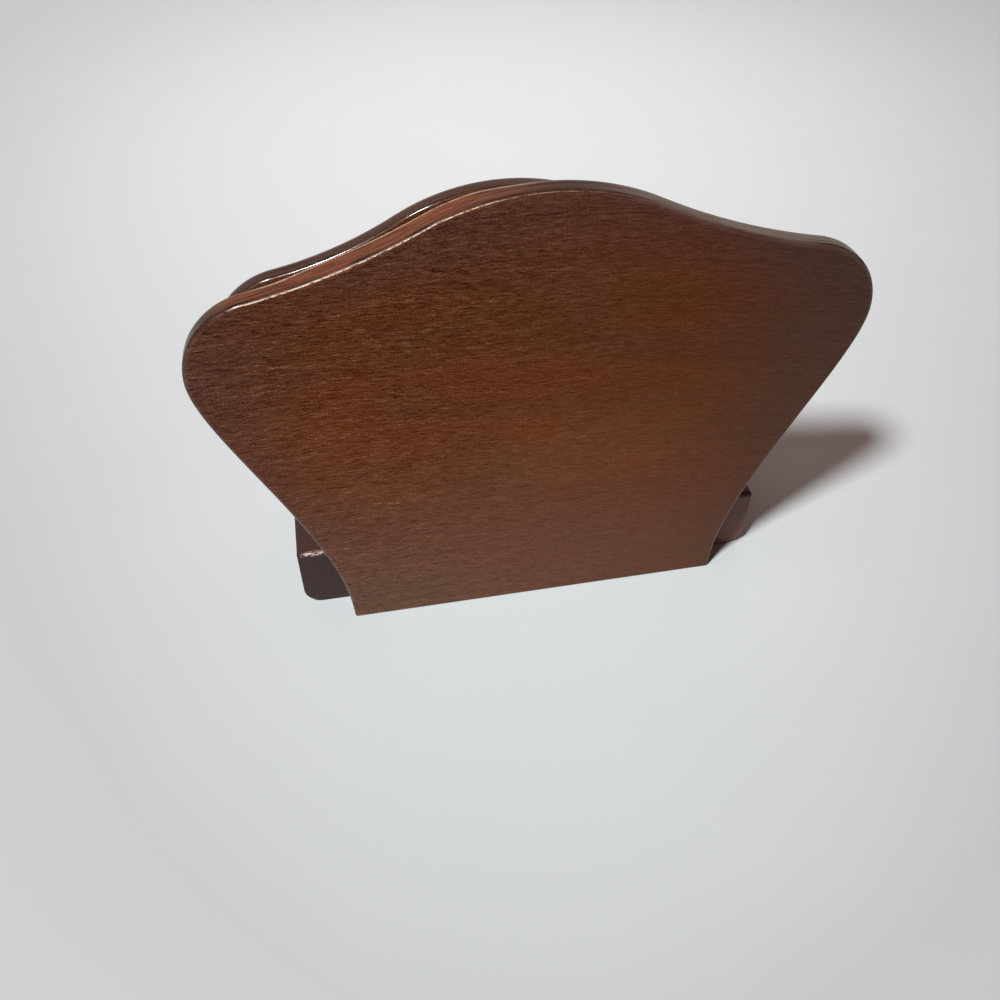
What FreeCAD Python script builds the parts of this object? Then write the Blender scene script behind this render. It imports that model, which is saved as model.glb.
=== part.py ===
import FreeCAD, Part
import math
import os

from FreeCAD import Vector

# Wooden napkin holder with a small drawer in its base.
#
# Two upright fan-shaped plates hold the napkins between them.  The rear plate is
# full height and stands on the table.  The front plate stands on the base.  The
# base is a low glued case, fixed against the rear plate, with one drawer that
# pulls out to the front.
#
# Millimetres.  X runs along the plates, +Y points from the rear plate to the
# drawer front, +Z is up.  The origin is the centre of the footprint, on the table.

# ---------------------------------------------------------------- driving sizes

# Rear plate outline
rear_plate_height = 129.9
rear_plate_thickness = 8.2
rear_ear_span = 170.6
rear_ear_height = 89.8
rear_ear_radius = 20.3
rear_crown_radius = 63.8
rear_shoulder_radius = 168.0
rear_foot_width = 110.0
rear_flank_drop = 16.8
rear_foot_rise = 34.1
rear_foot_flare = 1.5

# Front plate outline, with heights above the base that it stands on
front_plate_height = 86.3
front_plate_thickness = 8.0
front_ear_span = 169.2
front_ear_height = 42.0
front_ear_radius = 24.2
front_crown_radius = 61.5
front_shoulder_radius = 115.7
front_flank_drop = 14.0
front_foot_rise = 12.0
front_foot_flare = 25.0
front_foot_setback = 0.9

# Edges of both plates, all round but for the foot
plate_rear_edge_radius = 1.2
plate_front_edge_radius = 4.3

# Base case
napkin_gap = 41.8
front_ledge = 4.5
base_length = 138.4
drawer_opening_height = 12.9
top_thickness = 4.5
bottom_thickness = 3.5
end_thickness = 8.0
rail_thickness = 7.0
rebate_width = 2.4
base_bottom_corner_radius = 5.5
base_top_edge_radius = 1.6

# Drawer
drawer_front_thickness = 7.0
drawer_side_thickness = 4.0
drawer_back_thickness = 4.0
drawer_panel_thickness = 2.0
drawer_panel_lift = 1.0
drawer_groove_depth = 1.8
drawer_rabbet_depth = 4.0
drawer_front_inset = 0.5
drawer_front_edge_radius = 0.6
drawer_slide_clearance = 0.2
drawer_head_clearance = 0.5
drawer_side_clearance = 0.4
drawer_rear_clearance = 0.3

# Knob
knob_length = 10.5
knob_head_diameter = 10.4
knob_neck_diameter = 5.6
knob_seat_diameter = 7.6
knob_rim_radius = 2.0
knob_dome_radius = 7.0

# Fasteners
dowel_diameter = 5.0
dowel_length = 11.0
dowel_spacing = 38.0
dowel_count = 3
dowel_chamfer = 0.5
dowel_end_clearance = 0.5

screw_diameter = 2.8
screw_core_diameter = 2.0
screw_pitch = 1.1
screw_head_diameter = 5.4
screw_slot_width = 0.8
screw_slot_depth = 0.7
screw_tip_clearance = 1.0
plate_screw_length = 16.0
plate_screw_spacing = 46.0
plate_screw_count = 3
plate_screw_sink = 0.2
knob_screw_grip = 6.0
knob_screw_head_height = 1.7

brad_diameter = 1.0
brad_head_diameter = 1.7
brad_head_height = 0.4
brad_length = 11.0
brad_tip_length = 1.0
end_brad_spacing = 15.0
end_brad_count = 3
rail_brad_spacing = 19.0
rail_brad_places = (-2.5, -0.5, 0.5, 2.5)
drawer_brad_spacing = 6.0

fastener_clearance = 0.05

# ---------------------------------------------------------------- derived places

base_depth = napkin_gap + front_plate_thickness + front_ledge
footprint_depth = rear_plate_thickness + base_depth
base_height = bottom_thickness + drawer_opening_height + top_thickness

# Y, from the rear face of the rear plate to the front of the base
plate_rear_y = -footprint_depth / 2
base_rear_y = plate_rear_y + rear_plate_thickness
rail_front_y = base_rear_y + rail_thickness
front_plate_rear_y = base_rear_y + napkin_gap
front_plate_mid_y = front_plate_rear_y + front_plate_thickness / 2
base_front_y = plate_rear_y + footprint_depth

# X of the base's right half
base_half = base_length / 2
opening_half = base_half - end_thickness
rebate_half = opening_half + rebate_width

# Z of the drawer opening
opening_low_z = bottom_thickness
opening_high_z = bottom_thickness + drawer_opening_height

# Drawer box, closed
drawer_half = opening_half - drawer_side_clearance
drawer_inner_half = drawer_half - drawer_side_thickness
drawer_low_z = opening_low_z + drawer_slide_clearance
drawer_high_z = opening_high_z - drawer_head_clearance
drawer_rear_y = rail_front_y + drawer_rear_clearance
drawer_front_y = base_front_y - drawer_front_inset
drawer_front_back_y = drawer_front_y - drawer_front_thickness
drawer_rabbet_y = drawer_front_back_y + drawer_rabbet_depth
panel_low_z = drawer_low_z + drawer_panel_lift
panel_high_z = panel_low_z + drawer_panel_thickness
knob_z = (drawer_low_z + drawer_high_z) / 2

# Rounding of the base's lower corners, never wider than the wood outside the rebate
corner_radius = min(base_bottom_corner_radius, end_thickness - rebate_width)

SIDES = (-1, 1)


# ---------------------------------------------------------------- basic solids

def block(x0, x1, y0, y1, z0, z1):
    """A box between two corners."""
    low = Vector(min(x0, x1), min(y0, y1), min(z0, z1))
    return Part.makeBox(abs(x1 - x0), abs(y1 - y0), abs(z1 - z0), low)


def turned(profile, place, axis):
    """A closed profile of (radius, height) points turned about its height axis."""
    points = [Vector(radius, 0, height) for radius, height in profile]
    face = Part.Face(Part.makePolygon(points + points[:1]))
    solid = face.revolve(Vector(0, 0, 0), Vector(0, 0, 1), 360)
    return placed(solid, place, axis)


def placed(shape, place, axis):
    """The shape, made along +Z from the origin, put at a place and turned to an axis."""
    shape.Placement = FreeCAD.Placement(place, FreeCAD.Rotation(Vector(0, 0, 1), axis))
    return shape


def edges_where(shape, test):
    """The edges whose box passes a test."""
    return [edge for edge in shape.Edges if test(edge.BoundBox)]


def near(a, b):
    return abs(a - b) < 1e-4


def row(count, spacing):
    """Places of a centred row."""
    return [(index - (count - 1) / 2) * spacing for index in range(count)]


# ---------------------------------------------------------------- the two plates

def circle_crossing(centre_a, radius_a, centre_b, radius_b):
    """The upper crossing of two circles in the XZ plane."""
    span = centre_b - centre_a
    along = (radius_a ** 2 - radius_b ** 2 + span.Length ** 2) / (2 * span.Length)
    across = math.sqrt(radius_a ** 2 - along ** 2)
    unit = Vector(span).normalize()
    return centre_a + unit * along + Vector(-unit.z, 0, unit.x) * across


def toward(centre, target, radius):
    """The point at a radius from a centre, in the direction of a target."""
    return centre + (target - centre).normalize() * radius


def mirrored(points):
    """The points of the other half, in the opposite order."""
    return [Vector(-point.x, point.y, point.z) for point in reversed(points)]


def curve_edge(poles):
    """One cubic curve with these four poles."""
    curve = Part.BezierCurve()
    curve.setPoles(poles)
    return curve.toShape()


def fan_plate(rear_y, foot_z, thickness, height, ear_span, ear_height, ear_radius,
              crown_radius, shoulder_radius, foot_width, flank_drop, foot_rise, foot_flare):
    """A fan-shaped plate, standing on foot_z.

    Its outline is a crown arc, a hollow shoulder arc and an ear arc, all tangent.
    From the ear's widest point, where the edge runs straight down, a cubic flank
    draws in to the foot corner, which it meets at the flare angle from vertical.
    """
    half_ear = ear_span / 2
    crown = Vector(0, rear_y, foot_z + height - crown_radius)
    ear = Vector(half_ear - ear_radius, rear_y, foot_z + ear_height)
    shoulder = circle_crossing(crown, crown_radius + shoulder_radius,
                               ear, ear_radius + shoulder_radius)
    crown_top = Vector(0, rear_y, foot_z + height)
    crown_end = toward(crown, shoulder, crown_radius)
    shoulder_end = toward(ear, shoulder, ear_radius)
    shoulder_mid = toward(shoulder, (crown_end + shoulder_end) * 0.5, shoulder_radius)
    widest = Vector(half_ear, rear_y, foot_z + ear_height)
    ear_mid = toward(ear, (shoulder_end + widest) * 0.5, ear_radius)
    foot = Vector(foot_width / 2, rear_y, foot_z)
    flare = math.radians(foot_flare)
    foot_pole = foot + Vector(math.sin(flare), 0, math.cos(flare)) * foot_rise
    shoulder_points = [crown_end, shoulder_mid, shoulder_end]
    ear_points = [shoulder_end, ear_mid, widest]
    flank_poles = [widest, widest - Vector(0, 0, flank_drop), foot_pole, foot]

    edges = [
        Part.Arc(mirrored([crown_end])[0], crown_top, crown_end).toShape(),
        Part.Arc(*shoulder_points).toShape(),
        Part.Arc(*ear_points).toShape(),
        curve_edge(flank_poles),
        Part.LineSegment(foot, mirrored([foot])[0]).toShape(),
        curve_edge(mirrored(flank_poles)),
        Part.Arc(*mirrored(ear_points)).toShape(),
        Part.Arc(*mirrored(shoulder_points)).toShape(),
    ]
    plate = Part.Face(Part.Wire(edges)).extrude(Vector(0, thickness, 0))
    for edge_y, radius in (
        (rear_y, plate_rear_edge_radius),
        (rear_y + thickness, plate_front_edge_radius),
    ):
        plate = plate.makeFillet(radius, edges_where(
            plate, lambda box: near(box.YLength, 0) and near(box.YMin, edge_y) and box.ZLength > 1))
    return plate


# ---------------------------------------------------------------- fasteners

def dowel(place, axis):
    """A plain dowel pin with chamfered ends, centred on a place."""
    radius = dowel_diameter / 2
    half = dowel_length / 2
    profile = [
        (0, -half),
        (radius - dowel_chamfer, -half),
        (radius, dowel_chamfer - half),
        (radius, half - dowel_chamfer),
        (radius - dowel_chamfer, half),
        (0, half),
    ]
    return turned(profile, place, axis)


def thread_profile(start, end):
    """Ridges and roots of a screw thread, as (radius, height) points, then its tip."""
    core = screw_core_diameter / 2
    points = []
    height = start
    while height + screw_pitch < end - screw_core_diameter:
        points.append((core, height))
        points.append((screw_diameter / 2, height + screw_pitch / 2))
        height += screw_pitch
    points.append((core, height))
    points.append((core, end - screw_core_diameter))
    points.append((0, end))
    return points


def slotted(screw, place, axis):
    """Cuts the driver slot into the head of a screw that starts at a place."""
    reach = screw_head_diameter
    slot = Part.makeBox(reach, screw_slot_width, screw_slot_depth * 2)
    slot.translate(Vector(-reach / 2, -screw_slot_width / 2, -screw_slot_depth))
    return screw.cut(placed(slot, place, axis))


def countersunk_height():
    """Height of a 90 degree countersunk head."""
    return (screw_head_diameter - screw_diameter) / 2


def countersunk_screw(length, place, axis):
    """A slotted countersunk wood screw whose head face is at a place."""
    head_radius = screw_head_diameter / 2
    profile = [(0, 0), (head_radius, 0), (screw_diameter / 2, countersunk_height())]
    profile += thread_profile(top_thickness, length)
    return slotted(turned(profile, place, axis), place, axis)


def pan_screw(length, place, axis):
    """A slotted pan-head screw whose head top is at a place."""
    head_radius = screw_head_diameter / 2
    crown = knob_screw_head_height / 3
    shank_end = knob_screw_head_height + drawer_front_thickness
    profile = [
        (0, 0),
        (head_radius - crown, 0),
        (head_radius, crown),
        (head_radius, knob_screw_head_height),
        (screw_diameter / 2, knob_screw_head_height),
    ]
    profile += thread_profile(shank_end, length + knob_screw_head_height)
    return slotted(turned(profile, place, axis), place, axis)


def hole(diameter, depth, place, axis):
    """The space of a drilled hole that starts at a place."""
    radius = diameter / 2 + fastener_clearance
    return Part.makeCylinder(radius, depth, place, axis)


def countersink(place, axis):
    """The conical seat of a countersunk head, open a little past its face."""
    sink = plate_screw_sink
    wide = screw_head_diameter / 2 + fastener_clearance
    profile = [
        (0, -sink),
        (wide, -sink),
        (wide, 0),
        (wide - countersunk_height(), countersunk_height()),
        (0, countersunk_height()),
    ]
    return turned(profile, place, axis)


def brad(place, axis):
    """A small headed pin whose head face is at a place."""
    radius = brad_diameter / 2
    profile = [
        (0, 0),
        (brad_head_diameter / 2, 0),
        (brad_head_diameter / 2, brad_head_height),
        (radius, brad_head_height),
        (radius, brad_length - brad_tip_length),
        (0, brad_length),
    ]
    return turned(profile, place, axis)


def brad_hole(place, axis):
    """The space that a brad takes in the wood."""
    shank = hole(brad_diameter, brad_length + fastener_clearance, place, axis)
    head = hole(brad_head_diameter, brad_head_height + fastener_clearance, place, axis)
    return shank.fuse(head)


UP = Vector(0, 0, 1)
FRONT = Vector(0, 1, 0)

dowel_places = [
    Vector(x, base_rear_y, base_height / 2) for x in row(dowel_count, dowel_spacing)
]
plate_screw_places = [
    Vector(x, front_plate_mid_y, opening_high_z + plate_screw_sink)
    for x in row(plate_screw_count, plate_screw_spacing)
]
case_middle_y = (rail_front_y + base_front_y) / 2
bottom_brad_places = [
    Vector(side * (opening_half + rebate_width / 2), case_middle_y + y, 0)
    for side in SIDES
    for y in row(end_brad_count, end_brad_spacing)
]
bottom_brad_places += [
    Vector(place * rail_brad_spacing, rail_front_y - rebate_width / 2, 0)
    for place in rail_brad_places
]
drawer_brad_z = (panel_high_z + drawer_high_z) / 2
drawer_brads = [
    (Vector(side * drawer_half, y, drawer_brad_z + z), Vector(-side, 0, 0))
    for side in SIDES
    for y in (
        drawer_rear_y + drawer_back_thickness / 2,
        drawer_front_back_y + drawer_rabbet_depth / 2,
    )
    for z in (-drawer_brad_spacing / 2, drawer_brad_spacing / 2)
]


def drilled(shape, spaces):
    """The shape with holes cut out of it."""
    for space in spaces:
        shape = shape.cut(space)
    return shape


def dowel_holes():
    """Blind holes for the dowels, both ways from the glued face."""
    depth = dowel_length / 2 + dowel_end_clearance
    return [
        hole(dowel_diameter, 2 * depth, place - FRONT * depth, FRONT) for place in dowel_places
    ]


# ---------------------------------------------------------------- fixed pieces

def rear_plate():
    plate = fan_plate(
        plate_rear_y, 0, rear_plate_thickness, rear_plate_height, rear_ear_span,
        rear_ear_height, rear_ear_radius, rear_crown_radius, rear_shoulder_radius,
        rear_foot_width, rear_flank_drop, rear_foot_rise, rear_foot_flare)
    return drilled(plate, dowel_holes())


def front_plate():
    foot_width = base_length - 2 * front_foot_setback
    plate = fan_plate(
        front_plate_rear_y, base_height, front_plate_thickness, front_plate_height,
        front_ear_span, front_ear_height, front_ear_radius, front_crown_radius,
        front_shoulder_radius, foot_width, front_flank_drop, front_foot_rise,
        front_foot_flare)
    depth = plate_screw_length + screw_tip_clearance
    return drilled(plate, [hole(screw_diameter, depth, place, UP) for place in plate_screw_places])


def rounded_lower_corners(shape):
    """Rounds the lower corners at the two ends of the base."""
    def lower_corner(box):
        return near(box.ZMax, 0) and near(box.XLength, 0) and near(abs(box.XMax), base_half)

    return shape.makeFillet(corner_radius, edges_where(shape, lower_corner))


def back_rail():
    """The board behind the drawer, glued to the rear plate, with a rebate for the bottom."""
    rail = block(-base_half, base_half, base_rear_y, rail_front_y, 0, base_height)
    rail = rounded_lower_corners(rail)

    def upper_rear(box):
        return near(box.ZMin, base_height) and near(box.YMax, base_rear_y)

    rail = rail.makeFillet(base_top_edge_radius, edges_where(rail, upper_rear))
    rebate = block(-rebate_half, rebate_half, rail_front_y - rebate_width, rail_front_y,
                   0, bottom_thickness)
    brads = [brad_hole(place, UP) for place in bottom_brad_places]
    return drilled(rail, [rebate] + dowel_holes() + brads)


def end_board(side):
    """One end of the case, with a rebate for the bottom."""
    end = block(side * opening_half, side * base_half, rail_front_y, base_front_y,
                0, opening_high_z)
    end = rounded_lower_corners(end)
    rebate = block(side * opening_half, side * rebate_half, rail_front_y, base_front_y,
                   0, bottom_thickness)
    brads = [brad_hole(place, UP) for place in bottom_brad_places]
    return drilled(end, [rebate] + brads)


def top_board():
    """The floor of the napkin space and roof of the drawer."""
    top = block(-base_half, base_half, rail_front_y, base_front_y, opening_high_z, base_height)

    def upper_front(box):
        return near(box.ZMin, base_height) and near(box.YMin, base_front_y)

    top = top.makeFillet(base_top_edge_radius, edges_where(top, upper_front))
    holes = [hole(screw_diameter, top_thickness, place, UP) for place in plate_screw_places]
    seats = [countersink(place, UP) for place in plate_screw_places]
    return drilled(top, holes + seats)


def bottom_board():
    """The board that the drawer slides on, let into the ends and the rail."""
    bottom = block(-rebate_half, rebate_half, rail_front_y - rebate_width, base_front_y,
                   0, bottom_thickness)
    return drilled(bottom, [brad_hole(place, UP) for place in bottom_brad_places])


def dowels():
    return [dowel(place, FRONT) for place in dowel_places]


def plate_screws():
    return [countersunk_screw(plate_screw_length, place, UP) for place in plate_screw_places]


def bottom_brads():
    return [brad(place, UP) for place in bottom_brad_places]


# ---------------------------------------------------------------- the drawer

def drawer_groove():
    """The groove that holds the drawer's bottom panel, round the sides and the front."""
    reach = drawer_inner_half + drawer_groove_depth
    return block(-reach, reach, drawer_rear_y, drawer_front_back_y + drawer_groove_depth,
                 panel_low_z - fastener_clearance, panel_high_z + fastener_clearance)


def knob_screw_hole():
    """The hole for the knob's screw through the drawer front."""
    return hole(screw_diameter, drawer_front_thickness,
                Vector(0, drawer_front_back_y, knob_z), FRONT)


def drawer_front():
    front = block(-drawer_half, drawer_half, drawer_front_back_y, drawer_front_y,
                  drawer_low_z, drawer_high_z)
    shown = edges_where(front, lambda box: near(box.YMin, drawer_front_y))
    front = front.makeFillet(drawer_front_edge_radius, shown)
    rabbets = [
        block(side * drawer_inner_half, side * drawer_half, drawer_front_back_y,
              drawer_rabbet_y, drawer_low_z, drawer_high_z)
        for side in SIDES
    ]
    brads = [brad_hole(place, axis) for place, axis in drawer_brads]
    return drilled(front, rabbets + [drawer_groove(), knob_screw_hole()] + brads)


def drawer_side(side):
    board = block(side * drawer_inner_half, side * drawer_half, drawer_rear_y,
                  drawer_rabbet_y, drawer_low_z, drawer_high_z)
    brads = [brad_hole(place, axis) for place, axis in drawer_brads]
    return drilled(board, [drawer_groove()] + brads)


def drawer_back():
    """The back of the drawer, between the sides and on top of the bottom panel."""
    board = block(-drawer_inner_half, drawer_inner_half, drawer_rear_y,
                  drawer_rear_y + drawer_back_thickness, panel_high_z, drawer_high_z)
    return drilled(board, [brad_hole(place, axis) for place, axis in drawer_brads])


def drawer_panel():
    reach = drawer_inner_half + drawer_groove_depth - fastener_clearance
    front = drawer_front_back_y + drawer_groove_depth - fastener_clearance
    return block(-reach, reach, drawer_rear_y, front, panel_low_z, panel_high_z)


def drawer_brad_set():
    return [brad(place, axis) for place, axis in drawer_brads]


def drawer_knob():
    """A turned knob: a seat, a hollow neck, a round rim and a domed face.

    The dome is a ball's cap centred on the knob's axis, tangent to the rim's circle.
    """
    seat = knob_seat_diameter / 2
    neck = knob_neck_diameter / 2
    rim_x = knob_head_diameter / 2 - knob_rim_radius
    dome_z = knob_length - knob_dome_radius
    rim_z = dome_z + math.sqrt((knob_dome_radius - knob_rim_radius) ** 2 - rim_x ** 2)
    rim_low = rim_z - knob_rim_radius
    dome = Vector(0, 0, dome_z)
    rim = Vector(rim_x, 0, rim_z)
    dome_edge = toward(dome, rim, knob_dome_radius)
    top = Vector(0, 0, knob_length)
    dome_mid = toward(dome, (dome_edge + top) * 0.5, knob_dome_radius)
    widest = Vector(rim_x + knob_rim_radius, 0, rim_z)
    edges = [
        Part.LineSegment(Vector(0, 0, 0), Vector(seat, 0, 0)).toShape(),
        Part.Arc(Vector(seat, 0, 0), Vector(neck, 0, rim_low / 2),
                 Vector(rim_x, 0, rim_low)).toShape(),
        Part.Arc(Vector(rim_x, 0, rim_low), widest, dome_edge).toShape(),
        Part.Arc(dome_edge, dome_mid, top).toShape(),
        Part.LineSegment(top, Vector(0, 0, 0)).toShape(),
    ]
    knob = Part.Face(Part.Wire(edges)).revolve(Vector(0, 0, 0), UP, 360)
    place = Vector(0, drawer_front_y, knob_z)
    knob = placed(knob, place, FRONT)
    return drilled(knob, [hole(screw_diameter, knob_screw_grip + fastener_clearance, place, FRONT)])


def knob_screw():
    head_top = drawer_front_back_y - knob_screw_head_height
    length = drawer_front_thickness + knob_screw_grip
    return [pan_screw(length, Vector(0, head_top, knob_z), FRONT)]


# ---------------------------------------------------------------- files

PIECES = {
    "rear_plate": rear_plate(),
    "front_plate": front_plate(),
    "back_rail": back_rail(),
    "left_end": end_board(-1),
    "right_end": end_board(1),
    "top_board": top_board(),
    "bottom_board": bottom_board(),
    "plate_dowels": Part.makeCompound(dowels()),
    "plate_screws": Part.makeCompound(plate_screws()),
    "bottom_brads": Part.makeCompound(bottom_brads()),
    "drawer_front": drawer_front(),
    "drawer_left_side": drawer_side(-1),
    "drawer_right_side": drawer_side(1),
    "drawer_back": drawer_back(),
    "drawer_bottom": drawer_panel(),
    "drawer_brads": Part.makeCompound(drawer_brad_set()),
    "drawer_knob": drawer_knob(),
    "knob_screw": Part.makeCompound(knob_screw()),
}

os.makedirs("parts", exist_ok=True)
for name, shape in PIECES.items():
    shape.exportStep(os.path.join("parts", name + ".step"))
    print(name, len(shape.Solids), "solids", round(shape.Volume, 2), shape.isValid())
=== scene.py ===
"""A stained wooden napkin holder with a drawer: its finished surfaces, floor, lights and camera."""

import math

import bpy
import numpy as np
from mathutils import Matrix, Vector


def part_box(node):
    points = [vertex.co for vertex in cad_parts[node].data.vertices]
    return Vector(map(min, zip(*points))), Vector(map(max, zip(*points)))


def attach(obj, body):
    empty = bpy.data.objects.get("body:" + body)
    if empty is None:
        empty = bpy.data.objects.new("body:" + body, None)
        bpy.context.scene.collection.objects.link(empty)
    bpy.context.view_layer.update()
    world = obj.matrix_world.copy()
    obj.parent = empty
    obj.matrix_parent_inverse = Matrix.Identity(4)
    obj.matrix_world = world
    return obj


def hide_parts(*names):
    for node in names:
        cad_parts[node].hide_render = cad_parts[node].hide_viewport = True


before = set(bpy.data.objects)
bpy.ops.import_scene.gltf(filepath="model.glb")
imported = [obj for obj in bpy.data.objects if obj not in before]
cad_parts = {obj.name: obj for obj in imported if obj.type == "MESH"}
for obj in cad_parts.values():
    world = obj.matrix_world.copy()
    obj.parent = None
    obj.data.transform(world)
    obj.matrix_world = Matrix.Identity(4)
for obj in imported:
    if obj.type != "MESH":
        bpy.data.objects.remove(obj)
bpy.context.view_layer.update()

MM = 0.001

# ------------------------------------------------------------------ sizes, metres

# Outline of each plate, heights above its foot
REAR_OUTLINE = dict(
    ear_height=89.8 * MM,
    ear_radius=20.3 * MM,
    crown_radius=63.8 * MM,
    shoulder_radius=168.0 * MM,
    foot_half=55.0 * MM,
    flank_drop=16.8 * MM,
    foot_rise=34.1 * MM,
    foot_flare=math.radians(1.5),
)
FRONT_OUTLINE = dict(
    ear_height=42.0 * MM,
    ear_radius=24.2 * MM,
    crown_radius=61.5 * MM,
    shoulder_radius=115.7 * MM,
    foot_half=68.3 * MM,
    flank_drop=14.0 * MM,
    foot_rise=12.0 * MM,
    foot_flare=math.radians(25.0),
)
OUTLINE_POINTS = 900
PLATE_CORNER = 0.8 * MM
PLATE_REAR_EASE = 1.2 * MM
PLATE_FRONT_EASE = 4.3 * MM
PLATE_SLOPE_EASE = 2.5 * MM
PLATE_FOOT_EASE = 0.4 * MM
CASE_CORNER = 5.5 * MM
CASE_TOP_ROUND = 1.6 * MM
BOARD_EASE = 0.35 * MM
LEAST_EASE = 0.05 * MM
WELD_GAP = 0.002 * MM

# Knob
KNOB_SEAT = 3.8 * MM
KNOB_COLLAR = 0.7 * MM
KNOB_NECK = 2.5 * MM
KNOB_THROAT = 2.3 * MM
KNOB_NECK_RISE = 1.0 * MM
KNOB_RIM = 2.0 * MM
KNOB_DOME = 7.0 * MM

# Camera, relative to the holder's origin
CAMERA_PLACE = Vector((-46.53 * MM, -222.82 * MM, 226.34 * MM))
CAMERA_YAW = 0.1832
CAMERA_PITCH = 0.7623
CAMERA_ROLL = 0.0044
CAMERA_FOCAL = 975.0
FRAME_PIXELS = 1000.0
SENSOR_WIDTH = 36.0

# Light
KEY_TOWARD = (-0.438, -0.395, 0.808)
KEY_DISTANCE = 2.5
KEY_WIDTH = 0.36
KEY_POWER = 80.0
KEY_COLOUR = (0.90, 0.975, 1.0)
KEY_AIM = Vector((0, 0, 0.05))
ROOM_WALL = (0.60, 0.46, 0.415)
ROOM_DIM = (0.095, 0.060, 0.050)
FLOOR_HALF = 6.0


# ------------------------------------------------------------------ shader nodes

class Value:
    """One output socket of a node tree, with arithmetic on it."""

    def __init__(self, bench, socket):
        self.bench = bench
        self.socket = socket

    def math(self, operation, *values):
        """One Math node on this value and others."""
        inputs = dict(enumerate((self,) + values))
        return self.bench.node("ShaderNodeMath", {"operation": operation}, inputs)

    def __add__(self, other):
        return self.math("ADD", other)

    def __radd__(self, other):
        return self.math("ADD", other)

    def __sub__(self, other):
        return self.math("SUBTRACT", other)

    def __rsub__(self, other):
        return self.math("MULTIPLY_ADD", -1.0, other)

    def __mul__(self, other):
        return self.math("MULTIPLY", other)

    def above(self, low, high):
        """0 below low, 1 above high and a smooth rise between."""
        settings = {"interpolation_type": "SMOOTHSTEP"}
        inputs = {"Value": self, "From Min": low, "From Max": high}
        return self.bench.node("ShaderNodeMapRange", settings, inputs)

    def below(self, low, high):
        """1 below low, 0 above high and a smooth fall between."""
        return 1.0 - self.above(low, high)


class Bench:
    """A node tree that nodes are added to."""

    def __init__(self, tree):
        self.tree = tree
        self.tree.nodes.clear()

    def feed(self, socket, value):
        """Sets a socket to a number or colour, or links a value to it."""
        if isinstance(value, Value):
            self.tree.links.new(value.socket, socket)
        elif isinstance(value, tuple) and len(value) == 3 and socket.type == "RGBA":
            socket.default_value = value + (1.0,)
        else:
            socket.default_value = value

    def node(self, kind, settings=None, inputs=None, output=0):
        """Adds a node: its settings first, then its sockets."""
        made = self.tree.nodes.new(kind)
        for key, value in (settings or {}).items():
            setattr(made, key, value)
        for key, value in (inputs or {}).items():
            self.feed(made.inputs[key], value)
        return Value(self, made.outputs[output])

    def axes(self, point):
        """The three parts of a vector."""
        return [self.node("ShaderNodeSeparateXYZ", inputs={0: point}, output=i) for i in range(3)]

    def vector(self, x, y, z):
        """A vector, or a colour, from three values."""
        return self.node("ShaderNodeCombineXYZ", inputs={0: x, 1: y, 2: z})

    def noise(self, x, y, z, detail=2.0, roughness=0.5):
        """Noise from 0 to 1 at a point given by three values."""
        inputs = {"Vector": self.vector(x, y, z), "Scale": 1.0,
                  "Detail": detail, "Roughness": roughness}
        return self.node("ShaderNodeTexNoise", inputs=inputs)

    def blend(self, share, first, second, how="MIX"):
        """One Mix node on two colours."""
        made = self.tree.nodes.new("ShaderNodeMix")
        made.data_type = "RGBA"
        made.blend_type = how
        self.feed(made.inputs["Factor"], share)
        colours = [s for s in made.inputs if s.type == "RGBA"]
        self.feed(colours[0], first)
        self.feed(colours[1], second)
        return Value(self, [s for s in made.outputs if s.type == "RGBA"][0])


class Finish(Bench):
    """One procedural material: its node tree and its main shader."""

    def __init__(self, name):
        self.material = bpy.data.materials.new(name)
        self.material.use_nodes = True
        super().__init__(self.material.node_tree)
        self.shader = self.tree.nodes.new("ShaderNodeBsdfPrincipled")
        output = self.tree.nodes.new("ShaderNodeOutputMaterial")
        self.tree.links.new(self.shader.outputs[0], output.inputs["Surface"])

    def surface(self, **sockets):
        """Feeds the main shader, with underscores for the spaces in socket names."""
        for key, value in sockets.items():
            self.feed(self.shader.inputs[key.replace("_", " ")], value)

    def place(self):
        """The object's own coordinates in millimetres, as three values."""
        point = self.node("ShaderNodeTexCoord", output="Object")
        return [axis * 1000.0 for axis in self.axes(point)]

    def bump(self, height, distance):
        """A normal from a height in units of a distance in metres."""
        inputs = {"Height": height, "Distance": distance, "Strength": 1.0}
        return self.node("ShaderNodeBump", inputs=inputs)

    def attribute(self, name):
        """A value that the mesh holds at each point."""
        return self.node("ShaderNodeAttribute", {"attribute_name": name}, output="Fac")


# ------------------------------------------------------------------ finishes

WARM = (0.140, 0.0308, 0.0050)
OLIVE = (0.117, 0.0318, 0.0064)
PLUM = (0.093, 0.0325, 0.0210)
MAUVE = (0.100, 0.0375, 0.0245)
# painted shade for the right side of the plates
SHADE = (0.072, 0.0360, 0.0265)
# painted reflection of the bright floor on the lower face
PAINTED_FLOOR_SHEEN = (0.155, 0.0840, 0.0600)
RED_EDGE = (0.150, 0.0440, 0.0190)
DARK_EDGE = (0.034, 0.0160, 0.0115)
# painted reflection of the pale wall on the right-hand top edges
PAINTED_WALL_SHEEN = (0.110, 0.0800, 0.0650)
PURPLE = (0.034, 0.0255, 0.0265)
WINE = (0.066, 0.0300, 0.0270)
# painted reflection that makes the rail's right end paler
PAINTED_SHEEN_END = (0.170, 0.0890, 0.0700)
# painted glint colour on the rail's top near its left end
PAINTED_CORNER_GLINT = (0.800, 0.5600, 0.5000)
# painted glint colour, for lines along the arrises
PAINTED_GLINT_CREAM = (0.900, 0.6700, 0.4700)
PORE = (0.030, 0.0090, 0.0040)
DARKEST = (0.020, 0.0040, 0.0010)
FLECK = (0.330, 0.1700, 0.0850)


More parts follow.
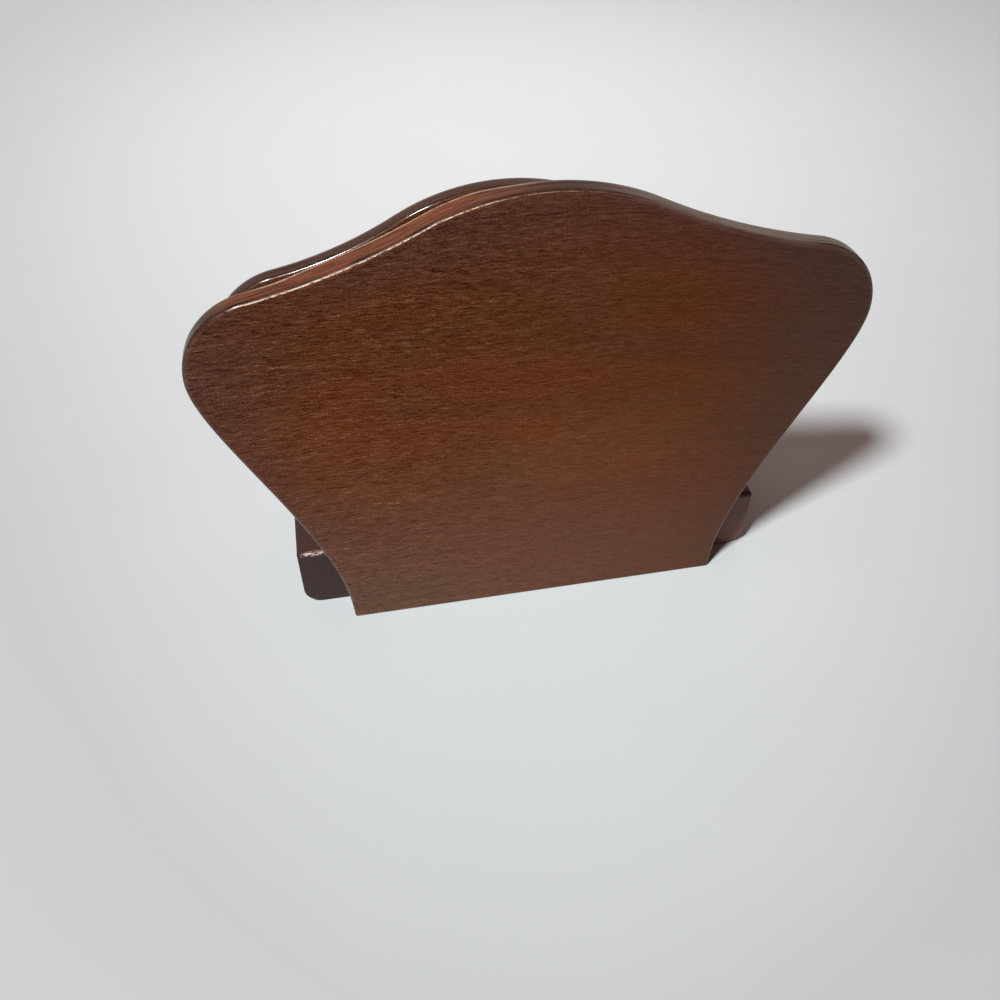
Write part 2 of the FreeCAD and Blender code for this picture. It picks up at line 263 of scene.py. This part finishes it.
class Wood(Finish):
    """A wooden finish: its place and its grain, in millimetres.

    grain names the axes along the grain, across it and through the board.
    """

    def __init__(self, name, grain):
        super().__init__(name)
        axes = dict(zip("XYZ", self.place()))
        self.x, self.y, self.z = [axes[letter] for letter in "XYZ"]
        self.along, self.across, self.through = [axes[letter] for letter in grain]

    def fibres(self, along, across, detail=2.0, roughness=0.5, start=0.0):
        """Noise drawn out along the grain, from its scale along it and across it."""
        far = self.along.math("MULTIPLY_ADD", along, start)
        return self.noise(far, self.across * across, self.through * across, detail, roughness)


class StainedWood(Wood):
    """Dark red-brown stain on wood with a slightly bowed and swaying grain.

    edge is how far a point is on the board's edge, and arris how near an arris it is.
    """

    def __init__(self, name, grain, shift):
        super().__init__(name, grain)
        # how strongly the grain shows: more towards the upper left and the top
        rise = 0.61 - self.x * 0.0066 + self.z * 0.0009
        self.grain_contrast = rise.math("MAXIMUM", 0.30).math("MINIMUM", 0.90)
        self.across = self.across + self.along * 0.05 + self.along * self.along * 0.0005
        self.along = self.along + shift
        sway = self.noise(self.along * 0.014, self.across * 0.03, self.through * 0.05, 1.0)
        self.across = self.across + (sway - 0.5) * 5.0
        self.tint = self.fibres(0.022, 0.045, start=5.0)
        self.streak = self.fibres(0.07, 1.70, 2.0, 0.6)
        self.dash = self.fibres(0.26, 2.3, 2.0, 0.65)
        self.fibre = self.fibres(0.5, 2.6, 3.0, 0.7)
        self.pores = self.dash.below(0.34, 0.40)
        self.edge = self.attribute("edge")
        self.arris = self.attribute("arris")
        self.near = self.arris.above(0.6, 0.9)
        self.slope = self.x.above(-80.0, -70.0) * self.x.below(-22.0, 8.0) * self.z.above(80.0, 90.0)

    def face(self):
        """The stain with painted light: plum at the crown, mauve at the left, painted shade in brown at
        the right and towards the top, a painted reflection of the floor in grey below and a painted
        patch of light in the lower middle.
        """
        x, z = self.x, self.z
        crown = z + x * x * 0.0042
        top = crown.above(106.0, 126.0) * x.above(-75.0, -35.0)
        cloud = self.fibres(0.030, 0.060, start=31.0)
        colour = self.blend(self.tint.above(0.34, 0.68), WARM, OLIVE)
        colour = self.blend(cloud.above(0.50, 0.68) * 0.20, colour, PLUM)
        colour = self.blend(top * 0.75, colour, PLUM)
        colour = self.blend(x.below(-88.0, -50.0) * 0.80, colour, MAUVE)
        # painted reflection of the floor: greyer and paler towards the foot
        colour = self.blend(z.below(0.0, 75.0) * (0.50 - x * 0.0022), colour, PAINTED_FLOOR_SHEEN)
        # painted shade towards the right
        colour = self.blend(x.above(30.0, 86.0) * 0.80, colour, SHADE)
        # painted light in a patch in the lower middle, and painted shade towards the right and the top
        painted_light_patch = x.above(-25.0, 0.0) * x.below(20.0, 60.0) * z.above(36.0, 54.0) * z.below(58.0, 78.0)
        shadow = x.above(0.0, 60.0) * 0.08 + z.above(60.0, 100.0) * 0.14 - painted_light_patch * 0.16 + 0.04
        return self.blend(1.0, colour, 1.0 - shadow, "MULTIPLY")

    def streaked(self, colour):
        """A stain with lighter and darker streaks, dark pores and a few pale flecks."""
        figure = self.fibres(0.035, 0.34)
        line = self.fibres(0.48, 3.6, 1.0)
        grit = self.noise(self.x * 2.3, self.y * 2.3, self.z * 2.3, 1.0)
        fleck = self.fibres(0.30, 3.6, start=40.0).above(0.58, 0.72)
        swing = (figure - 0.5) * 0.5 + (self.streak - 0.5) * 1.0 + (self.dash - 0.5) * 1.6
        swing = swing + (line - 0.5) * 2.2 + (grit - 0.5) * 2.0
        swing = swing * self.grain_contrast * 0.075
        swing = swing * (swing * swing * 260.0 + swing * 4.0 + 0.85)
        colour = self.blend(1.0, colour, self.vector(swing, swing * 0.51, swing * 0.30), "ADD")
        colour = self.blend(1.0, colour, DARKEST, "LIGHTEN")
        colour = self.blend(self.pores * self.grain_contrast * 0.12, colour, PORE)
        return self.blend(fleck * self.grain_contrast.above(0.2, 0.9) * 0.18, colour, FLECK)

    def edged(self, colour, slope_colour):
        """A stain with that of the edges: dark, with a painted reflection of the wall at the right,
        another on the left slope.
        """
        band = self.noise(self.along * 0.05, self.across * 0.25, self.through * 2.0, 2.0, 0.6)
        # painted reflection of the pale wall on the top edges at the right
        wall_sheen_share = self.x.above(4.0, 26.0) * self.z.above(75.0, 90.0)
        trim = self.blend(wall_sheen_share, DARK_EDGE, PAINTED_WALL_SHEEN)
        trim = self.blend(self.slope, trim, slope_colour)
        gloom = self.near * self.edge.above(0.45, 0.65) * 0.45 + self.x.below(-90.0, -30.0) * 0.38
        shine = (band - 0.5) * 4.0 + 1.0 - gloom * self.x.below(-10.0, 20.0)
        trim = self.blend(1.0, trim, shine, "MULTIPLY")
        return self.blend(self.edge * 0.85, colour, trim)

    def painted_glint_reach(self):
        """How strongly painted glints are drawn on the left slope: most at the left, less towards the
        crown.
        """
        share = self.x.below(-18.0, -6.0) * 0.75 + self.x.below(-4.0, 26.0) * 0.25
        return self.x.above(-76.0, -66.0) * share * self.z.above(80.0, 90.0)

    def painted_arris_glints(self, colour, glint_share):
        """A stain with painted glints: a beaded cream line along the near arris, and a light line along
        the far one.
        """
        line = self.edge.above(0.35, 0.41) * self.edge.below(0.45, 0.51) * self.fibre.above(0.40, 0.56)
        # painted glint: a beaded cream line along the near arris
        colour = self.blend(self.near * glint_share * line, colour, PAINTED_GLINT_CREAM)
        # painted reflection: a light line along the far arris of the left slope
        far = self.arris.above(0.30, 0.45) * self.arris.below(0.60, 0.80) * self.slope
        line = self.edge.above(0.58, 0.66) * self.edge.below(0.88, 0.98) * self.fibre.above(0.30, 0.60)
        return self.blend(far * self.x.above(-70.0, -60.0) * line * 0.55, colour, PAINTED_GLINT_CREAM)

    def red_top_painted_sheen(self, colour):
        """A stain that is redder on top, with a painted glint near the left end and a painted
        reflection that makes the right end paler.
        """
        colour = self.blend(self.edge, colour, WINE)
        # painted glint on the top's rounded edge near the left end
        corner_glint = self.near * self.edge.above(0.10, 0.30) * self.edge.below(0.60, 0.90)
        corner_glint = corner_glint * self.fibre.above(0.47, 0.56)
        corner_glint = corner_glint * self.x.above(-69.0, -66.0) * self.x.below(-61.0, -57.0)
        colour = self.blend(corner_glint, colour, PAINTED_CORNER_GLINT)
        # painted reflection: the right end made paler
        return self.blend(self.x.above(46.0, 58.0) * (1.0 - self.edge), colour, PAINTED_SHEEN_END)


def stained_wood(name, grain="XZY", shift=0.0, slope_colour=DARK_EDGE, tone=1.0, glint_lines=False,
                 red_top_painted_sheen=False):
    """Dark red-brown stain under a thin lacquer, with short streaks of open grain.

    shift moves the grain along.  slope_colour is the stain on the edge of the left slope.  Of the
    two flags, the first draws painted glints along the arrises of the left slope, with less gloss
    under them; the second makes the top redder, with a painted glint near the left end and a
    painted reflection that makes the right end paler.  tone is how much of the warm stain shows
    over the dark one.
    """
    wood = StainedWood(name, grain, shift)
    colour = wood.edged(wood.streaked(wood.face()), slope_colour)
    colour = wood.blend(1.0 - tone, colour, PURPLE)
    coat = wood.edge * 0.30 + wood.arris * (wood.slope * 0.20 + 0.25)
    if glint_lines:
        # painted glints along the arrises of the left slope, with less gloss under them
        glint_share = wood.painted_glint_reach()
        colour = wood.painted_arris_glints(colour, glint_share)
        coat = coat * (1.0 - glint_share * 0.9)
    # redder top, with a painted glint near the left end and a painted reflection at the right end
    if red_top_painted_sheen:
        colour = wood.red_top_painted_sheen(colour)
    peel = wood.noise(wood.x * 0.16, wood.y * 0.16, wood.z * 0.16, 1.0)
    height = wood.streak * 0.4 + wood.dash * 0.6 + peel * 2.0 + wood.arris * wood.fibre * 4.0
    wood.surface(
        Base_Color=colour,
        Roughness=0.38 + wood.pores * 0.2 + (wood.tint - 0.5) * 0.15,
        Normal=wood.bump(height, 0.02 * MM),
        Specular_IOR_Level=0.09,
        Coat_Weight=coat + 0.03,
        Coat_Roughness=0.12,
    )
    return wood.material


def plain_wood(name, grain="XZY", colour=(0.34, 0.17, 0.075), shade=(0.20, 0.085, 0.035)):
    """Thinly stained wood without gloss, for the drawer's inside and the dowels."""
    wood = Wood(name, grain)
    streak = wood.fibres(0.05, 1.3, 4.0, 0.6)
    figure = wood.fibres(0.012, 0.22)
    pores = wood.fibres(0.4, 4.6).above(0.62, 0.74)
    tint = wood.blend(figure.above(0.3, 0.7) * 0.7, colour, shade)
    tint = wood.blend(streak.above(0.45, 0.72) * 0.5, tint, shade)
    tint = wood.blend(pores * 0.6, tint, PORE)
    wood.surface(
        Base_Color=tint,
        Roughness=0.62 + pores * 0.15,
        Normal=wood.bump(streak * 0.5 - pores, 0.03 * MM),
    )
    return wood.material


def zinc_steel(name):
    """Zinc-plated steel with fine turning marks and dull spots."""
    steel = Finish(name)
    x, y, z = steel.place()
    spots = steel.noise(x * 1.2, y * 1.2, z * 1.2, 4.0, 0.6)
    marks = steel.noise(x * 9.0, y * 9.0, z * 9.0, 2.0)
    steel.surface(
        Base_Color=steel.blend(spots.above(0.4, 0.7), (0.60, 0.58, 0.54), (0.36, 0.34, 0.31)),
        Metallic=1.0,
        Roughness=0.30 + spots * 0.20,
        Normal=steel.bump(marks, 0.01 * MM),
    )
    return steel.material


def pale_board(name):
    """The matt white sheet that the holder stands on, with painted light: a painted pool of light just
    before the holder, and a painted fall of light, paler towards the far side and darker out to the
    sides, that fades to an even white far off.
    """
    sheet = Finish(name)
    x, y, z = [axis * 0.01 for axis in sheet.place()]
    mottle = sheet.noise(x * 2.0, y * 2.0, z, 4.0, 0.6)
    # painted pool of light just before the holder
    before = y + 0.9
    painted_pool = ((x * x + before * before) * -0.51).math("EXPONENT")
    # painted fall of light: paler towards the far side, darker out to the sides
    painted_lit_white = 0.582 + x * (0.031 + y * 0.009 - x * 0.031) + y * (0.120 - y * 0.010) + mottle * 0.02
    around = x * x + y * y
    here = (around * around * -0.0008).math("EXPONENT")
    painted_lit_white = (painted_lit_white + painted_pool * 0.162 - 0.68) * here + 0.68
    painted_lit_white = painted_lit_white.math("MAXIMUM", 0.50).math("MINIMUM", 0.93)
    sheet.surface(
        Base_Color=painted_lit_white,
        Roughness=0.62,
        Normal=sheet.bump(mottle, 0.05 * MM),
    )
    return sheet.material


# ------------------------------------------------------------------ surfaces

def unit(vectors):
    """The same directions at length 1."""
    return vectors / np.linalg.norm(vectors, axis=-1, keepdims=True)


def arc(centre, radius, start, end, count):
    """Points at a radius from a centre, from one angle to another, without the last."""
    angle = np.linspace(start, end, count, endpoint=False)
    return np.array(centre) + radius * np.stack([np.cos(angle), np.sin(angle)], axis=1)


def heading(vector):
    """The angle of a flat vector."""
    return math.atan2(vector[1], vector[0])


def cubic(poles, count):
    """A cubic curve: poles weighted by the terms of ((1 - t) + t) cubed, without the last point."""
    t = np.linspace(0, 1, count, endpoint=False)[:, None]
    weights = [(1 - t) ** 3, 3 * t * (1 - t) ** 2, 3 * t * t * (1 - t), t ** 3]
    return sum(weight * pole for weight, pole in zip(weights, poles))


def even(loop, count):
    """The closed loop again, with points at equal steps along its length."""
    closed = np.vstack([loop, loop[:1]])
    steps = np.linalg.norm(np.diff(closed, axis=0), axis=1)
    length = np.concatenate([[0], np.cumsum(steps)])
    places = np.linspace(0, length[-1], count, endpoint=False)
    return np.stack([np.interp(places, length, closed[:, i]) for i in range(2)], axis=1)


def inward(loop):
    """Unit normals that point into a loop that runs anticlockwise: the chord, turned a quarter left."""
    chord = unit(np.roll(loop, -1, axis=0) - np.roll(loop, 1, axis=0))
    return np.stack([-chord[:, 1], chord[:, 0]], axis=1)


def fan_loop(low, high, ear_height, ear_radius, crown_radius, shoulder_radius,
             foot_half, flank_drop, foot_rise, foot_flare):
    """The fan's outline, anticlockwise from the middle of the foot.

    Right half: foot, rounded corner, cubic flank up to the ear's widest point, ear arc,
    hollow shoulder arc tangent to the ear and the crown, crown arc.  The left half mirrors it.
    """
    half_span = high[0]
    foot_z = low[2]
    crown = np.array([0.0, high[2] - crown_radius])
    ear = np.array([half_span - ear_radius, foot_z + ear_height])
    reach_a = crown_radius + shoulder_radius
    reach_b = ear_radius + shoulder_radius
    span = ear - crown
    distance = np.linalg.norm(span)
    along = (reach_a ** 2 - reach_b ** 2 + distance ** 2) / (2 * distance)
    across = math.sqrt(reach_a ** 2 - along ** 2)
    direction = span / distance
    shoulder = crown + direction * along + np.array([-direction[1], direction[0]]) * across

    foot = np.array([foot_half, foot_z])
    widest = np.array([half_span, foot_z + ear_height])
    up_flank = np.array([math.sin(foot_flare), math.cos(foot_flare)])
    poles = [foot, foot + up_flank * foot_rise, widest - np.array([0, flank_drop]), widest]
    flank = cubic(poles, 220)
    opening = math.pi / 2 + foot_flare
    tangent = PLATE_CORNER / math.tan(opening / 2)
    flank = flank[np.linalg.norm(flank - foot, axis=1) > tangent]
    corner_centre = foot + np.array([-tangent, PLATE_CORNER])
    corner = arc(corner_centre, PLATE_CORNER, -math.pi / 2, -foot_flare, 10)
    ear_top = heading(shoulder - ear)
    crown_end = heading(shoulder - crown)
    turn = 2 * math.pi
    half = np.vstack([
        np.linspace([0, foot_z], [corner_centre[0], foot_z], 60, endpoint=False),
        corner,
        flank,
        arc(ear, ear_radius, 0, ear_top, 60),
        arc(shoulder, shoulder_radius, heading(ear - shoulder) % turn,
            heading(crown - shoulder) % turn, 60),
        arc(crown, crown_radius, crown_end, math.pi / 2, 60),
        [[0, high[2]]],
    ])
    left = half[1:-1][::-1] * [-1, 1]
    return np.vstack([half, left])


def rounded_rectangle(x0, x1, z0, z1, lower, upper):
    """A rectangle with rounded lower and upper corners, anticlockwise from its lower left."""
    corners = [
        ((x0 + lower, z0 + lower), lower, math.pi),
        ((x1 - lower, z0 + lower), lower, 1.5 * math.pi),
        ((x1 - upper, z1 - upper), upper, 0.0),
        ((x0 + upper, z1 - upper), upper, 0.5 * math.pi),
    ]
    return np.vstack([arc(centre, radius, start, start + math.pi / 2 * 11 / 10, 11)
                      for centre, radius, start in corners])


FACE_RINGS = (0.2, 0.45, 0.68, 0.84, 0.94, 0.985)
EASE_STEPS = 8
BORDER = 0.08 * MM
NEAR_ARRIS = 1.0
FAR_ARRIS = 0.5


class Loft:
    """Rings of points, from the low end to the high end, and what is known at each ring."""

    def __init__(self, count):
        self.count = count
        self.rings = []
        self.depths = []
        self.fields = {"arris": [], "edge": []}

    def add(self, ring, depth, arris=0.0, edge=0.0):
        """One ring, its depth and its share of arris and of edge."""
        self.rings.append(ring)
        self.depths.append(np.broadcast_to(depth, self.count))
        self.fields["arris"].append(np.broadcast_to(arris, self.count))
        self.fields["edge"].append(np.broadcast_to(edge, self.count))

    def end(self, shrunk, ease, depth, sign, arris):
        """The rings of one end, from its face outwards to its side.

        The ring at angle a of the easing is the loop moved inwards by ease * (1 - cos a) and
        stands ease * (1 - sin a) from the end.  The face is that ring drawn in to its middle.
        """
        edge = shrunk(1.0)
        middle = (edge.min(0) + edge.max(0)) / 2
        reach = np.linalg.norm(edge - middle, axis=1)
        for share in FACE_RINGS:
            self.add(middle + (edge - middle) * share, depth)
        self.add(middle + (edge - middle) * (1 - BORDER / reach[:, None]), depth)
        for angle in np.linspace(math.pi / 2, 0, EASE_STEPS + 1):
            share = 1 - math.cos(angle)
            stand = depth + sign * ease * (1 - math.sin(angle))
            self.add(shrunk(share), stand, arris, 1.0 - angle / (math.pi / 2))
        self.add(shrunk(0.0), depth + sign * (ease + BORDER), 0.0, 1.0)


def prism(name, low_loop, high_loop, low, high, eases, axes):
    """A board: a flat loop carried along its third axis from low to high, with eased ends.

    low_loop and high_loop give the loop at a share of its inward easing.  eases holds the
    easing radius of each point at both ends.  axes names the row axes of the loop's two
    coordinates and of the third.
    """
    count = len(low_loop(0.0))
    start = Loft(count)
    start.end(low_loop, eases[0], low, 1, NEAR_ARRIS)
    finish = Loft(count)
    finish.end(high_loop, eases[1], high, -1, FAR_ARRIS)
    rings = start.rings + finish.rings[::-1]
    flat = np.concatenate(rings)
    middles = [(ring.min(0) + ring.max(0)) / 2 for ring in (rings[0], rings[-1])]
    order = ["XYZ".index(letter) for letter in axes]
    points = np.zeros((len(flat) + 2, 3))
    points[:, order[0]] = np.append(flat[:, 0], [middle[0] for middle in middles])
    points[:, order[1]] = np.append(flat[:, 1], [middle[1] for middle in middles])
    points[:, order[2]] = np.append(np.concatenate(start.depths + finish.depths[::-1]), [low, high])

    grid = np.arange(len(flat)).reshape(-1, count)
    after = np.roll(grid, -1, axis=1)
    quads = np.stack([grid[:-1], after[:-1], after[1:], grid[1:]], axis=-1).reshape(-1, 4)
    pole = np.full(count, len(flat))
    start_fan = np.stack([pole, after[0], grid[0]], axis=-1)
    end_fan = np.stack([pole + 1, grid[-1], after[-1]], axis=-1)
    faces = quads.tolist() + start_fan.tolist() + end_fan.tolist()
    if np.linalg.det(np.eye(3)[order]) < 0:
        faces = [face[::-1] for face in faces]
    board = piece(name, points, faces)
    for field, values in start.fields.items():
        values = np.concatenate(values + finish.fields[field][::-1])
        layer = board.data.attributes.new(field, "FLOAT", "POINT")
        layer.data.foreach_set("value", np.append(values, [0.0, 0.0]).astype(np.float32))
    return board


def piece(name, points, faces):
    """A smooth mesh object with its place in its mesh."""
    mesh = bpy.data.meshes.new(name)
    mesh.from_pydata(points.tolist(), [], faces)
    mesh.shade_smooth()
    made = bpy.data.objects.new(name, mesh)
    bpy.context.scene.collection.objects.link(made)
    return made


def turned(name, profile, centre, count=128):
    """A knob: a profile of (radius, distance) points turned about +Y through a centre.

    The point at angle a is centre + (radius * cos a, distance, radius * sin a).  Its first
    and last points lie on the axis.
    """
    angle = np.linspace(0, 2 * math.pi, count, endpoint=False)
    radius, reach = profile[1:-1].T[:, :, None]
    rings = np.stack([radius * np.cos(angle), reach + 0 * angle, radius * np.sin(angle)], axis=-1)
    poles = [[0, profile[0, 1], 0], [0, profile[-1, 1], 0]]
    points = np.vstack([rings.reshape(-1, 3), poles]) + centre
    grid = np.arange(len(points) - 2).reshape(-1, count)
    after = np.roll(grid, -1, axis=1)
    quads = np.stack([grid[:-1], grid[1:], after[1:], after[:-1]], axis=-1).reshape(-1, 4)
    pole = np.full(count, len(points) - 2)
    start_fan = np.stack([pole, grid[0], after[0]], axis=-1)
    end_fan = np.stack([pole + 1, after[-1], grid[-1]], axis=-1)
    return piece(name, points, quads.tolist() + start_fan.tolist() + end_fan.tolist())


def dress(made, material, body, *nodes):
    """Gives a new piece its finish, its body and the CAD nodes that it stands for."""
    made.data.materials.append(material)
    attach(made, body)
    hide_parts(*nodes)
    return made


def finish_node(name, material, ease=None):
    """Gives a CAD node its finish, and eases its sharp edges if it says how wide."""
    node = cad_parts[name]
    for slot in node.material_slots:
        slot.material = material
    if ease:
        weld = node.modifiers.new("weld", "WELD")
        weld.merge_threshold = WELD_GAP
        bevel = node.modifiers.new("ease", "BEVEL")
        bevel.width = ease
        bevel.segments = 3
        bevel.loop_slide = False
        bevel.limit_method = "ANGLE"
        bevel.angle_limit = math.radians(40)


# ------------------------------------------------------------------ the holder's pieces

def corners(node):
    """The lowest and highest corner of a CAD node."""
    low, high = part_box(node)
    return np.array(low), np.array(high)


def smooth(value, low, high):
    """0 below low, 1 above high and a smooth rise between."""
    t = np.clip((value - low) / (high - low), 0, 1)
    return t * t * (3 - 2 * t)


def make_plate(node, outline, material, hollow=0.0):
    """A fan-shaped plate.

    Its rear edge is barely eased and its front edge well rounded, but for the foot.
    hollow lessens the front rounding along the left slope, where the sanding missed it.
    """
    low, high = corners(node)
    loop = even(fan_loop(low, high, **outline), OUTLINE_POINTS)
    into = inward(loop)
    x, z = (loop / MM).T
    rise = smooth(z - low[2] / MM, 1.0, 12.0)
    slope = smooth(x, -64, -48) * smooth(-x, 5, 18) * smooth(z, 90, 96)
    full = PLATE_FRONT_EASE - (PLATE_FRONT_EASE - PLATE_SLOPE_EASE) * slope * hollow
    eases = [PLATE_FOOT_EASE + (ease - PLATE_FOOT_EASE) * rise for ease in (PLATE_REAR_EASE, full)]
    loops = [lambda share, e=e: loop + into * (e * share)[:, None] for e in eases]
    plate = prism(node + "_wood", *loops, low[1], high[1], eases, "XZY")
    return dress(plate, material, "holder", node)


def make_board(node, material, body, axes, radii, rear, front):
    """A flat board with rounded lower and upper corners.

    rear and front hold the easing at its sides, at its bottom and at its top.
    """
    low, high = corners(node)
    order = ["XYZ".index(letter) for letter in axes]
    x0, z0, y0 = low[order]
    x1, z1, y1 = high[order]

    def shrunk(share, ease):
        side, foot, head = [value * share for value in ease]
        lower = max(radii[0] - max(side, foot), LEAST_EASE)
        upper = max(radii[1] - max(side, head), LEAST_EASE)
        return rounded_rectangle(x0 + side, x1 - side, z0 + foot, z1 - head, lower, upper)

    into = inward(rounded_rectangle(x0, x1, z0, z1, *radii))
    level = into[:, 0] ** 2
    eases = [ease[0] * level + np.where(into[:, 1] > 0, ease[1], ease[2]) * (1 - level)
             for ease in (rear, front)]
    loops = [lambda share, e=e: shrunk(share, e) for e in (rear, front)]
    board = prism(node + "_wood", *loops, y0, y1, eases, axes)
    return dress(board, material, body, node)


def make_knob(node, material):
    """A round collar, a hollow neck, a round rim and a domed face that meets the rim."""
    low, high = corners(node)
    length = high[1] - low[1]
    head = (high[0] - low[0]) / 2 - KNOB_RIM
    dome = length - KNOB_DOME
    rise = math.sqrt((KNOB_DOME - KNOB_RIM) ** 2 - head ** 2)
    meet = math.atan2(rise, head)
    foot = dome + rise - KNOB_RIM
    bead = KNOB_COLLAR / 2
    collar = arc((KNOB_SEAT - bead, bead), bead, -math.pi / 2, math.pi / 2, 12)
    neck = cubic([
        (KNOB_SEAT - KNOB_COLLAR, KNOB_COLLAR),
        (KNOB_NECK, KNOB_COLLAR + KNOB_NECK_RISE),
        (KNOB_THROAT, foot),
        (head, foot),
    ], 24)
    rim = arc((head, dome + rise), KNOB_RIM, -math.pi / 2, meet, 24)
    face = arc((0, dome), KNOB_DOME, meet, math.pi / 2, 32)
    profile = np.vstack([[(0, 0)], collar, neck, rim[1:], face[1:-1], [(0, length)]])
    middle = np.array([(low[0] + high[0]) / 2, low[1], (low[2] + high[2]) / 2])
    knob = turned(node + "_wood", profile, middle)
    return dress(knob, material, "drawer", node)


rear_material = stained_wood("rear_plate_stain", slope_colour=RED_EDGE, glint_lines=True)
front_material = stained_wood("front_plate_stain", shift=310.0)
rail_material = stained_wood("rail_stain", shift=700.0, tone=0.22, red_top_painted_sheen=True)
case_material = stained_wood("case_stain", shift=820.0, tone=0.30)
end_material = stained_wood("end_stain", "YZX", shift=90.0, tone=0.22)
knob_material = stained_wood("knob_stain", "YZX", shift=450.0, tone=0.6)
drawer_material = stained_wood("drawer_front_stain", shift=1200.0, tone=0.6)
inside_material = plain_wood("drawer_wood")
side_material = plain_wood("drawer_side_wood", "YZX")
dowel_material = plain_wood("dowel_wood", "YZX", (0.55, 0.38, 0.20), (0.42, 0.27, 0.13))
steel_material = zinc_steel("zinc_steel")

make_plate("rear_plate", REAR_OUTLINE, rear_material, 1.0)
make_plate("front_plate", FRONT_OUTLINE, front_material)
make_board("back_rail", rail_material, "holder", "XZY", (CASE_CORNER, BOARD_EASE),
           (BOARD_EASE, BOARD_EASE, CASE_TOP_ROUND), (LEAST_EASE,) * 3)
make_knob("drawer_knob", knob_material)

finish_node("top_board", case_material, BOARD_EASE)
finish_node("bottom_board", case_material)
finish_node("left_end", end_material, BOARD_EASE)
finish_node("right_end", end_material, BOARD_EASE)
finish_node("drawer_front", drawer_material, BOARD_EASE)
finish_node("drawer_left_side", side_material, BOARD_EASE)
finish_node("drawer_right_side", side_material, BOARD_EASE)
finish_node("drawer_back", inside_material, BOARD_EASE)
finish_node("drawer_bottom", inside_material, BOARD_EASE)
finish_node("plate_dowels", dowel_material)
for fastener in ("plate_screws", "bottom_brads", "drawer_brads", "knob_screw"):
    finish_node(fastener, steel_material)


# ------------------------------------------------------------------ floor, lights, camera

def make_floor():
    """A wide flat square under the holder."""
    points = np.array([[-1, -1, 0], [1, -1, 0], [1, 1, 0], [-1, 1, 0]]) * FLOOR_HALF
    floor = piece("floor", points, [[0, 1, 2, 3]])
    floor.data.materials.append(pale_board("pale_board"))


def make_lamp():
    """A round lamp that looks at the middle of the holder."""
    data = bpy.data.lights.new("key", "AREA")
    data.shape = "DISK"
    data.size = KEY_WIDTH
    data.energy = KEY_POWER
    data.color = KEY_COLOUR
    lamp = bpy.data.objects.new("key", data)
    bpy.context.scene.collection.objects.link(lamp)
    toward = Vector(KEY_TOWARD).normalized()
    lamp.location = toward * KEY_DISTANCE + KEY_AIM
    lamp.rotation_euler = toward.to_track_quat("Z", "Y").to_euler()


def make_room():
    """Soft light from all round: a pale wall beyond the drawer side, a dim room elsewhere."""
    world = bpy.data.worlds.new("soft_room")
    world.use_nodes = True
    room = Bench(world.node_tree)
    way = room.node("ShaderNodeTexCoord", output="Generated")
    y = room.axes(way)[1]
    colour = room.blend(y.above(0.20, 0.70), ROOM_DIM, ROOM_WALL)
    light = room.node("ShaderNodeBackground", inputs={"Color": colour, "Strength": 1.0})
    output = room.tree.nodes.new("ShaderNodeOutputWorld")
    room.tree.links.new(light.socket, output.inputs["Surface"])
    bpy.context.scene.world = world


def make_camera():
    """Looks along a yaw and a downward pitch, then rolls about that line."""
    forward = Vector((
        math.sin(CAMERA_YAW) * math.cos(CAMERA_PITCH),
        math.cos(CAMERA_YAW) * math.cos(CAMERA_PITCH),
        -math.sin(CAMERA_PITCH),
    ))
    level = Vector((math.cos(CAMERA_YAW), -math.sin(CAMERA_YAW), 0))
    down = forward.cross(level)
    right = level * math.cos(CAMERA_ROLL) + down * math.sin(CAMERA_ROLL)
    lower = down * math.cos(CAMERA_ROLL) - level * math.sin(CAMERA_ROLL)
    data = bpy.data.cameras.new("view")
    data.sensor_width = SENSOR_WIDTH
    data.lens = SENSOR_WIDTH * CAMERA_FOCAL / FRAME_PIXELS
    data.clip_start = 0.01
    camera = bpy.data.objects.new("view", data)
    bpy.context.scene.collection.objects.link(camera)
    turn = Matrix((right, -lower, -forward)).transposed()
    camera.matrix_world = Matrix.Translation(CAMERA_PLACE) @ turn.to_4x4()
    bpy.context.scene.camera = camera


make_floor()
make_lamp()
make_room()
make_camera()
bpy.context.scene.view_settings.view_transform = "Standard"
